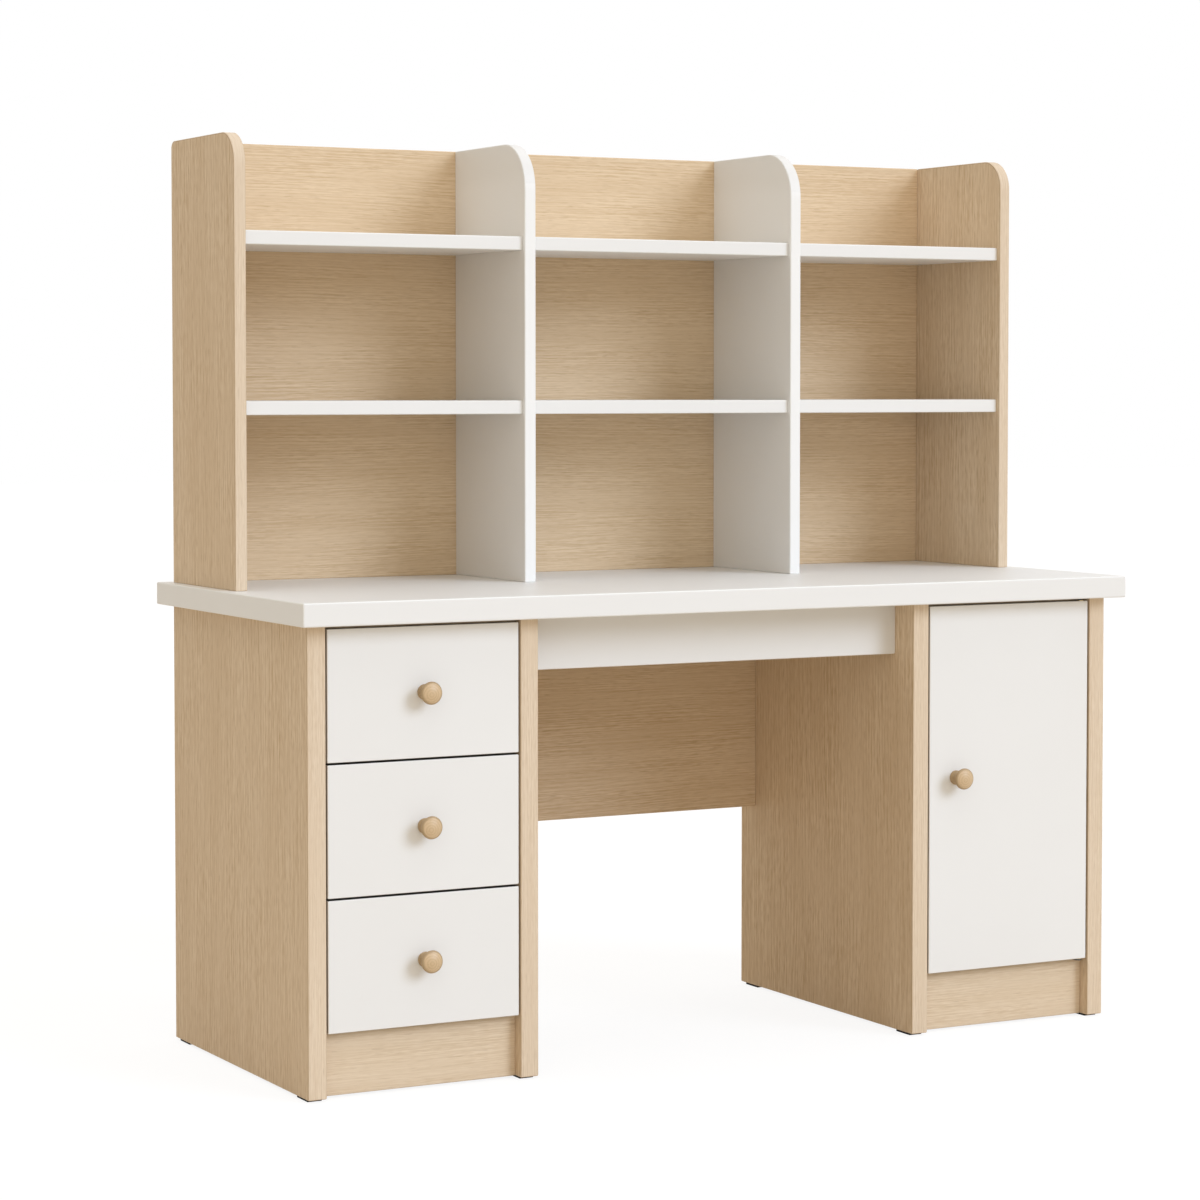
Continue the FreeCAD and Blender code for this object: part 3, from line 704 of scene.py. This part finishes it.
def birch_floor(name, node):
    """Thin panel with a broad rotary-cut figure across the drawer."""
    centre, _ = box_of(node)
    finish = Finish(name, centre)
    lengthways, crossways = FLOOR_SWELLS
    slow = finish.noise(finish.x * lengthways, finish.y * crossways + centre.z * FLOOR_STEP, 0.0, 3.0)
    bands = (slow * FLOOR_BANDS).maths("FRACT").rise(*FLOOR_BAND_FADE)
    lengthways, crossways = FLOOR_FIBRES
    fibre = finish.noise(finish.x * lengthways, finish.y * crossways, 0.0)
    wood = finish.mix(bands * 0.35 + fibre.rise(*BIRCH_FADE) * 0.3, BIRCH, BIRCH_DEEP)
    return finish.surface(wood, 0.52 + fibre.swing() * 0.2, fibre, BIRCH_BUMP)


class DrawerBoxes(bpy.types.Operator):
    """Dresses the drawer boxes and their floors in birch plywood"""

    bl_idname = "desk_hutch.drawer_boxes"
    bl_label = "Drawer boxes"

    def execute(self, context):
        for tier in TIERS:
            dress(f"{tier}_drawer_box", birch(f"birch_{tier}_box", f"{tier}_drawer_box"))
            dress(f"{tier}_drawer_floor", birch_floor(f"birch_{tier}_floor", f"{tier}_drawer_floor"))
        return {"FINISHED"}


# Knobs and dowels

KNOB_STEP = 1.7
KNOB_HEART = 2.6 * MM
KNOB_HEART_SHIFT = 1.0 * MM
KNOB_RINGS = 4.1 * MM
RING_WOBBLE = 2 * MM
TURNING_PITCH = 0.7 * MM
KNOB_BUMP = 0.06 * MM

# Counts of the beech's marks to the metre, along the knob's axis and across it
WOBBLES = (25.0, 60.0)
BEECH_FLECKS = (130.0, 900.0)
BEECH_FLECK_FADE = (0.6, 0.72)
BEECH_LATE_WOOD = (0.35, 0.9)
BEECH_RING_END = (0.92, 1.0)


def beech(name, node, start):
    """Turned beech with growth rings, flecks and turning marks, and painted shade on its rim and waist."""
    look = bpy.context.scene.desk_knob
    centre, half = box_of(node)
    finish = Finish(name, centre)
    offset = KNOB_HEART + KNOB_HEART_SHIFT * math.sin(start)
    lengthways, crossways = WOBBLES
    wobble = finish.noise(finish.x * crossways, finish.y * lengthways + start, finish.z * crossways).swing()
    far_x = finish.x + offset
    far_z = finish.z + offset * 0.7
    part = (((far_x * far_x + far_z * far_z) ** 0.5 + wobble * RING_WOBBLE) / KNOB_RINGS).maths("FRACT")
    line = part.rise(*BEECH_LATE_WOOD) * (1 - part.rise(*BEECH_RING_END))
    lengthways, crossways = BEECH_FLECKS
    fleck = finish.noise(finish.x * crossways, finish.y * lengthways, finish.z * crossways + start, 1.0)
    fleck = fleck.rise(*BEECH_FLECK_FADE)
    from_axis = (finish.x * finish.x + finish.z * finish.z) ** 0.5
    turning = (from_axis * (2 * math.pi / TURNING_PITCH)).maths("SINE")
    # Painted shade darkening the rim and the waist under the head
    rim_shade = from_axis.rise(half.x * 0.80, half.x * 0.91)
    waist_shade = (finish.y + half.y * 0.45).rise(0.0, half.y * 0.3)
    wood = finish.mix(line * 0.42 + wobble * 0.5, look.pale, look.deep)
    wood = finish.mix(rim_shade.most(waist_shade) * 0.75, wood, darker(look.deep, 0.75))
    wood = finish.mix(fleck * 0.35, wood, darker(look.deep, 0.55))
    roughness = 0.40 + fleck * 0.15 + wobble * 0.12
    return finish.surface(wood, roughness, turning * 0.06 + line * 0.3, KNOB_BUMP)


class Knobs(bpy.types.Operator):
    """Dresses the turned knobs and the dowels in beech"""

    bl_idname = "desk_hutch.knobs"
    bl_label = "Knobs and dowels"

    def execute(self, context):
        knobs = [f"{tier}_drawer_knob" for tier in TIERS] + ["door_knob", "joint_dowels"]
        for start, node in enumerate(knobs):
            dress(node, beech(f"beech_{node}", node, start * KNOB_STEP))
        return {"FINISHED"}


# Hardware

ZINC = "zinc_plate"
DRAWN_ALONG = 30.0
DRAWN_ACROSS = 900.0
PLATING_CLOUDS = 45.0
MOULDING_CLOUDS = 55.0
CLOUD_FADE = (0.3, 0.7)
METAL_BUMP = 0.02 * MM
MOULDING_BUMP = 0.03 * MM


def metal(name, colour, rough, drawn_axis):
    """Plated metal with a drawn finish along one axis and cloudy plating."""
    finish = Finish(name, Metallic=1.0)
    x, y, z = (
        getattr(finish, axis) * (DRAWN_ALONG if axis == drawn_axis else DRAWN_ACROSS) for axis in "xyz"
    )
    drawn = finish.noise(x, y, z)
    cloud = finish.even_noise(PLATING_CLOUDS, 3.0)
    tone = finish.mix(cloud.rise(*CLOUD_FADE) * 0.5, colour, darker(colour, 0.82))
    roughness = rough + cloud.swing() * 0.2 + drawn.swing() * 0.15
    return finish.surface(tone, roughness, drawn, METAL_BUMP)


def moulding(name, colour, rough, grain, **shader):
    """Moulded or sprayed surface with a fine skin and a faint drift of tone."""
    finish = Finish(name, **shader)
    skin = finish.even_noise(grain)
    cloud = finish.even_noise(MOULDING_CLOUDS)
    tone = finish.mix(cloud.rise(*CLOUD_FADE) * 0.6, colour, darker(colour, 0.84))
    roughness = rough + cloud.swing() * 0.16 + skin.swing() * 0.1
    return finish.surface(tone, roughness, skin, MOULDING_BUMP)


class Hardware(bpy.types.Operator):
    """Dresses the runners, the rollers, the door pivots, the catch, the pins and the glides"""

    bl_idname = "desk_hutch.hardware"
    bl_label = "Hardware"

    def execute(self, context):
        zinc = metal(ZINC, colour=(0.56, 0.565, 0.58, 1), rough=0.34, drawn_axis="x")
        dark = metal("dark_zinc", colour=(0.085, 0.085, 0.090, 1), rough=0.46, drawn_axis="x")
        brass = metal("turned_brass", colour=(0.71, 0.52, 0.23, 1), rough=0.28, drawn_axis="z")
        cream = moulding("cream_coat", colour=(0.78, 0.76, 0.70, 1), rough=0.38, grain=1500.0)
        nylon = moulding(
            "white_nylon", colour=(0.80, 0.80, 0.78, 1), rough=0.42, grain=2200.0, Subsurface_Weight=0.15
        )
        black = moulding(
            "black_moulding", colour=(0.011, 0.011, 0.012, 1), rough=0.62, grain=1800.0,
            Specular_IOR_Level=0.08,
        )
        dressed = {
            "pivot_leaves": dark,
            "shelf_pins": zinc,
            "strike_plate": zinc,
            "door_screw": zinc,
            "door_bushes": brass,
            "runner_channels": cream,
            "magnetic_catch": black,
            "foot_glides": black,
        }
        for tier in TIERS:
            dressed[f"{tier}_drawer_screw"] = zinc
            dressed[f"{tier}_drawer_runners"] = cream
            dressed[f"{tier}_front_rollers"] = nylon
            dressed[f"{tier}_rear_rollers"] = nylon
        for node, material in dressed.items():
            dress(node, material)
        return {"FINISHED"}


# Fixings

# Ways that a head may face
LEFT = (-1, 0, 0)
RIGHT = (1, 0, 0)
BACK = (0, 1, 0)
DOWN = (0, 0, -1)

# Shape of a head, in shares of its radius and height
HEAD_TREE = "cross_heads"
HEAD_INPUTS = {
    "Radius": "NodeSocketFloat",
    "Height": "NodeSocketFloat",
    "Seed": "NodeSocketInt",
    "Finish": "NodeSocketMaterial",
}
HEAD_CORNERS = 20
HEAD_RINGS = 3
DOME_CURVE = 3.0
DOME_DROP = 0.55
RECESS_LENGTH = 1.15
RECESS_WIDTH = 0.26
RECESS_DEPTH = 1.2


def head_tree():
    """Domed heads with a cross recess on every point, turned to the point's facing."""
    group = bpy.data.node_groups.new(HEAD_TREE, "GeometryNodeTree")
    group.interface.new_socket("Geometry", in_out="INPUT", socket_type="NodeSocketGeometry")
    group.interface.new_socket("Geometry", in_out="OUTPUT", socket_type="NodeSocketGeometry")
    for label, kind in HEAD_INPUTS.items():
        group.interface.new_socket(label, in_out="INPUT", socket_type=kind)
    work = NodeWork(group)
    given = work.node("NodeGroupInput").outputs
    radius = Amount(work, given["Radius"])
    height = Amount(work, given["Height"])
    disc = work.node(
        "GeometryNodeMeshCylinder",
        {"fill_type": "TRIANGLE_FAN"},
        {
            "Vertices": HEAD_CORNERS,
            "Side Segments": 1,
            "Fill Segments": HEAD_RINGS,
            "Radius": radius,
            "Depth": height,
        },
    )
    place = work.node("GeometryNodeInputPosition")
    level = work.node("ShaderNodeSeparateXYZ", inputs={0: place}).outputs["Z"]
    upper = Amount(work, level).maths("GREATER_THAN", 0.0)
    flat = work.node("ShaderNodeVectorMath", {"operation": "MULTIPLY"}, {0: place, 1: (1, 1, 0)})
    length = work.node("ShaderNodeVectorMath", {"operation": "LENGTH"}, {0: flat}).outputs["Value"]
    drop = (Amount(work, length) / radius) ** DOME_CURVE * -DOME_DROP
    lift = work.vector(0.0, 0.0, (0.5 + drop * upper) * height)
    domed = work.node("GeometryNodeSetPosition", inputs={"Geometry": disc, "Offset": lift})
    cut = work.node(
        "GeometryNodeMeshBoolean",
        {"operation": "DIFFERENCE", "solver": "EXACT"},
        {"Mesh 1": domed, "Self Intersection": True},
    )
    long = radius * RECESS_LENGTH
    narrow = radius * RECESS_WIDTH
    deep = height * RECESS_DEPTH
    on_top = work.vector(0.0, 0.0, height)
    for size in (work.vector(long, narrow, deep), work.vector(narrow, long, deep)):
        bar = work.node("GeometryNodeMeshCube", inputs={"Size": size})
        raised = work.node("GeometryNodeTransform", inputs={"Geometry": bar, "Translation": on_top})
        work.feed(cut.inputs["Mesh 2"], raised)
    facing = work.node("GeometryNodeInputNamedAttribute", {"data_type": "FLOAT_VECTOR"}, {"Name": "facing"})
    faced = work.node("FunctionNodeAlignRotationToVector", {"axis": "Z"}, {"Vector": facing})
    random = work.node(
        "FunctionNodeRandomValue", {"data_type": "FLOAT"}, {RANDOM_HIGHEST: math.pi, "Seed": given["Seed"]}
    )
    angle = random.outputs[RANDOM_NUMBER]
    spin = work.node("FunctionNodeAxisAngleToRotation", inputs={"Axis": (0, 0, 1), "Angle": angle})
    turned = work.node(
        "FunctionNodeRotateRotation", {"rotation_space": "LOCAL"}, {"Rotation": faced, "Rotate By": spin}
    )
    spread = work.node(
        "GeometryNodeInstanceOnPoints",
        inputs={"Points": given["Geometry"], "Instance": cut, "Rotation": turned},
    )
    solid = work.node("GeometryNodeRealizeInstances", inputs={"Geometry": spread})
    dressed = work.node("GeometryNodeSetMaterial", inputs={"Geometry": solid, "Material": given["Finish"]})
    work.node("NodeGroupOutput", inputs={0: dressed})
    return group


def heads(name, body, spots, radius, height):
    """One plain mesh of heads for a body; each spot is a place and the way that its head faces."""
    points = bpy.data.meshes.new(f"{name}_points")
    points.from_pydata([place for place, _ in spots], [], [])
    facing = points.attributes.new("facing", "FLOAT_VECTOR", "POINT")
    facing.data.foreach_set("vector", [part for _, way in spots for part in way])
    piece = bpy.data.objects.new(name, points)
    bpy.context.scene.collection.objects.link(piece)
    group = bpy.data.node_groups.get(HEAD_TREE) or head_tree()
    modifier = piece.modifiers.new("heads", "NODES")
    modifier.node_group = group
    values = {
        "Radius": radius,
        "Height": height,
        "Seed": bpy.context.scene.desk_fixings.seed,
        "Finish": bpy.data.materials[ZINC],
    }
    for item in group.interface.items_tree:
        if item.in_out == "INPUT" and item.name in values:
            modifier[item.identifier] = values[item.name]
    graph = bpy.context.evaluated_depsgraph_get()
    mesh = bpy.data.meshes.new_from_object(piece.evaluated_get(graph))
    piece.modifiers.remove(modifier)
    piece.data = mesh
    mesh.name = name
    bpy.data.meshes.remove(points)
    if not mesh.polygons:
        raise RuntimeError(f"{name} has no heads")
    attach(piece, body)


# Runners: places of the screws from front to back, and sizes in the sheet of the runners
RUNNER_PLACES = (-0.205, -0.045, 0.125)
RUNNER_SHEET = 1.2 * MM
RUNNER_LIP = 5 * MM
RUNNER_SCREW_RISE = 15.6 * MM
RUNNER_HEAD = 0.9 * MM
LIP_HEAD_SHARE = 1.15


class RunnerScrews(bpy.types.Operator):
    """Adds the screws that hold the runners to the case and to the drawer boxes"""

    bl_idname = "desk_hutch.runner_screws"
    bl_label = "Runner screws"

    def execute(self, context):
        radius = context.scene.desk_fixings.runner_head
        case_low, case_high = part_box("runner_channels")
        spots = []
        for tier in TIERS:
            low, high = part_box(f"{tier}_drawer_box")
            height = low.z + RUNNER_SCREW_RISE
            under = low.z - RUNNER_SHEET
            lips = []
            for place in RUNNER_PLACES:
                spots.append(((case_low.x + RUNNER_SHEET, place, height), RIGHT))
                spots.append(((case_high.x - RUNNER_SHEET, place, height), LEFT))
                lips.append(((low.x + RUNNER_LIP, place, under), DOWN))
                lips.append(((high.x - RUNNER_LIP, place, under), DOWN))
            heads(f"{tier}_member_screws", f"{tier}_drawer", lips, radius * LIP_HEAD_SHARE, RUNNER_HEAD)
        heads("channel_screws", "desk", spots, radius, RUNNER_HEAD)
        return {"FINISHED"}


# Panels: places of the screws, in shares of the board that they go into
SHELF_PLACES = (0.15, 0.5, 0.85)
DIVIDER_PLACES = (0.1, 0.28, 0.55, 0.9)
BACK_PLACES = (0.12, 0.5, 0.88)
RAIL_PLACES = (0.2, 0.8)
RAIL_INSET = 40 * MM
LEAF_INSETS = (9 * MM, 21 * MM)
CATCH_INSET = 7 * MM

# Head heights, and head sizes in shares of a panel screw's
BACK_HEAD = 0.8 * MM
RAIL_HEAD = 2.2 * MM
RAIL_HEAD_SHARE = 1.2
LEAF_HEAD = 0.7 * MM
LEAF_HEAD_SHARE = 0.8
CATCH_HEAD = 1.4 * MM
CATCH_HEAD_SHARE = 0.7


class PanelScrews(bpy.types.Operator):
    """Adds the screws of the back panels, the top rails, the lower door pivot and the catch"""

    bl_idname = "desk_hutch.panel_screws"
    bl_label = "Panel screws"

    def execute(self, context):
        radius = context.scene.desk_fixings.panel_head
        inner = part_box("right_inner_side")[1].x
        heads("back_panel_screws", "desk", self.behind(inner), radius, BACK_HEAD)
        heads("rail_screws", "desk", self.under_rails(inner), radius * RAIL_HEAD_SHARE, RAIL_HEAD)
        low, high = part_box("pivot_leaves")
        middle = (low.x + high.x) / 2
        spots = [((middle, high.y - inset, low.z), DOWN) for inset in LEAF_INSETS]
        heads("pivot_screws", "desk", spots, radius * LEAF_HEAD_SHARE, LEAF_HEAD)
        low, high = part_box("magnetic_catch")
        middle = (low.y + high.y) / 2
        spots = [((high.x, middle, height), RIGHT) for height in (low.z + CATCH_INSET, high.z - CATCH_INSET)]
        heads("catch_screws", "desk", spots, radius * CATCH_HEAD_SHARE, CATCH_HEAD)
        return {"FINISHED"}

    def behind(self, inner):
        """Screws through the back panels of the hutch and of both pedestals."""
        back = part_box("hutch_back_panel")[1].y
        spots = []
        for node in SHELVES:
            low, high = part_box(node)
            for share in SHELF_PLACES:
                place = low.x + (high.x - low.x) * share
                spots.append(((place, back, (low.z + high.z) / 2), BACK))
        for node in DIVIDERS:
            low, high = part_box(node)
            for share in DIVIDER_PLACES:
                height = low.z + (high.z - low.z) * share
                spots.append((((low.x + high.x) / 2, back, height), BACK))
        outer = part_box("pedestal_backs")[1]
        for board in ("base_panels", "top_rails"):
            low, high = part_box(board)
            for share in BACK_PLACES:
                place = inner + (outer.x - inner) * share
                for hand in (-1, 1):
                    spots.append(((place * hand, outer.y, (low.z + high.z) / 2), BACK))
        return spots

    def under_rails(self, inner):
        """Screws up through the top rails of both pedestals into the top."""
        low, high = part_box("top_rails")
        spots = []
        for along in (low.y + RAIL_INSET, high.y - RAIL_INSET):
            for share in RAIL_PLACES:
                place = inner + (high.x - inner) * share
                for hand in (-1, 1):
                    spots.append(((place * hand, along, low.z), DOWN))
        return spots


# Cam discs: places from the lower, upper and front edges of a box's sides
CAM_RISE = 45 * MM
CAM_DROP = 32 * MM
CAM_SETBACK = 26 * MM
CAM_HEAD = 0.7 * MM


class CamDiscs(bpy.types.Operator):
    """Adds the cam discs that pull the drawer fronts to their boxes"""

    bl_idname = "desk_hutch.cam_discs"
    bl_label = "Cam discs"

    def execute(self, context):
        radius = context.scene.desk_fixings.cam_disc
        for tier in TIERS:
            low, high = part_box(f"{tier}_drawer_box")
            setback = low.y + CAM_SETBACK
            spots = []
            for height in (low.z + CAM_RISE, high.z - CAM_DROP):
                spots.append(((low.x + BOX_SIDE, setback, height), RIGHT))
                spots.append(((high.x - BOX_SIDE, setback, height), LEFT))
            heads(f"{tier}_cam_discs", f"{tier}_drawer", spots, radius, CAM_HEAD)
        return {"FINISHED"}


# Studio

FLOOR_HALF = 30.0
FLOOR_BOUNCE = (0.73, 0.65, 0.54, 1)
FLOOR_SHADOW = (0.17, 0.17, 0.17, 1)
FLOOR_GLOW = 0.87
WHITE = (1, 1, 1, 1)
SENSOR_WIDTH = 36

# Colour of each lamp, the way that its light travels, and its spread in degrees
LAMPS = {
    "key": ((0.715, 0.822, 1.0), (-0.55, 0.82, -0.47), 30),
    "fill": ((0.90, 0.90, 0.87), (0.42, 0.85, -0.32), 70),
    "top": ((1.0, 0.97, 0.95), (0.0, -0.10, -1.0), 80),
}


class Stage(bpy.types.Operator):
    """Adds the floor, the light and the camera"""

    bl_idname = "desk_hutch.stage"
    bl_label = "Studio"

    def execute(self, context):
        studio = context.scene.desk_studio
        context.scene.view_settings.view_transform = "Standard"
        self.floor(context)
        self.world(context, studio)
        self.lamps(context, studio)
        self.camera(context, studio)
        return {"FINISHED"}

    def floor(self, context):
        """A floor that bounces warm light and shows white, with the object's shadow."""
        mesh = bpy.data.meshes.new("floor")
        turns = ((-1, -1), (1, -1), (1, 1), (-1, 1))
        mesh.from_pydata([(x * FLOOR_HALF, y * FLOOR_HALF, 0) for x, y in turns], [], [(0, 1, 2, 3)])
        floor = bpy.data.objects.new("floor", mesh)
        context.scene.collection.objects.link(floor)
        finish = Finish("pale_floor", Roughness=0.9, Specular_IOR_Level=0.0, Base_Color=FLOOR_BOUNCE)
        shadowed = finish.node("ShaderNodeBsdfDiffuse", inputs={"Color": FLOOR_SHADOW})
        glow = finish.node("ShaderNodeEmission", inputs={"Color": WHITE, "Strength": FLOOR_GLOW})
        pale = finish.node("ShaderNodeAddShader", inputs={0: shadowed, 1: glow})
        shown = finish.node("ShaderNodeMixShader", inputs={0: finish.seen(), 1: finish.shader, 2: pale})
        finish.feed(finish.output.inputs["Surface"], shown)
        mesh.materials.append(finish.material)

    def world(self, context, studio):
        """Warm light from all round, behind which the camera sees white."""
        world = bpy.data.worlds.new("studio")
        context.scene.world = world
        world.use_nodes = True
        world.node_tree.nodes.clear()
        work = NodeWork(world.node_tree)
        inputs = {"Color": studio.warmth, "Strength": studio.ambient}
        around = work.node("ShaderNodeBackground", inputs=inputs)
        white_wall = work.node("ShaderNodeBackground", inputs={"Color": WHITE, "Strength": 1.0})
        shown = work.node("ShaderNodeMixShader", inputs={0: work.seen(), 1: around, 2: white_wall})
        work.node("ShaderNodeOutputWorld", inputs={"Surface": shown})

    def lamps(self, context, studio):
        for name, (colour, travel, spread) in LAMPS.items():
            data = bpy.data.lights.new(name, "SUN")
            data.energy = getattr(studio, name)
            data.angle = math.radians(spread)
            data.color = colour
            lamp = bpy.data.objects.new(name, data)
            lamp.rotation_mode = "QUATERNION"
            lamp.rotation_quaternion = Vector(travel).to_track_quat("-Z", "Y")
            context.scene.collection.objects.link(lamp)

    def camera(self, context, studio):
        data = bpy.data.cameras.new("camera")
        data.sensor_width = SENSOR_WIDTH
        data.lens = studio.lens
        data.shift_y = studio.lift
        camera = bpy.data.objects.new("camera", data)
        camera.location = studio.camera
        camera.rotation_euler = (math.pi / 2 - studio.tilt, 0, -studio.heading)
        context.scene.collection.objects.link(camera)
        context.scene.camera = camera


class DeskPanel(bpy.types.Panel):
    """Sizes, colours and steps of the desk"""

    bl_idname = "VIEW3D_PT_desk_hutch"
    bl_label = "Student desk with hutch"
    bl_space_type = "VIEW_3D"
    bl_region_type = "UI"
    bl_category = "Desk"

    def draw(self, context):
        for step in STEPS:
            self.layout.operator(step.bl_idname)
        for name, group in GROUPS.items():
            box = self.layout.box()
            for prop in group.__annotations__:
                box.prop(getattr(context.scene, name), prop)


STEPS = (
    OakBoards,
    WhiteBoards,
    DrawerBoxes,
    Knobs,
    Hardware,
    RunnerScrews,
    PanelScrews,
    CamDiscs,
    Stage,
)
GROUPS = {
    "desk_oak": OakFinish,
    "desk_white": WhiteFinish,
    "desk_knob": KnobFinish,
    "desk_fixings": FixingSizes,
    "desk_studio": StudioSizes,
}


def register():
    for group in GROUPS.values():
        bpy.utils.register_class(group)
    for step in (*STEPS, DeskPanel):
        bpy.utils.register_class(step)
    for name, group in GROUPS.items():
        setattr(bpy.types.Scene, name, PointerProperty(type=group))


def unregister():
    for name in GROUPS:
        delattr(bpy.types.Scene, name)
    for step in (DeskPanel, *reversed(STEPS)):
        bpy.utils.unregister_class(step)
    for group in GROUPS.values():
        bpy.utils.unregister_class(group)


def main():
    register()
    bpy.ops.desk_hutch.oak_boards()
    bpy.ops.desk_hutch.white_boards()
    bpy.ops.desk_hutch.drawer_boxes()
    bpy.ops.desk_hutch.knobs()
    bpy.ops.desk_hutch.hardware()
    bpy.ops.desk_hutch.runner_screws()
    bpy.ops.desk_hutch.panel_screws()
    bpy.ops.desk_hutch.cam_discs()
    bpy.ops.desk_hutch.stage()


if __name__ == "__main__":
    main()
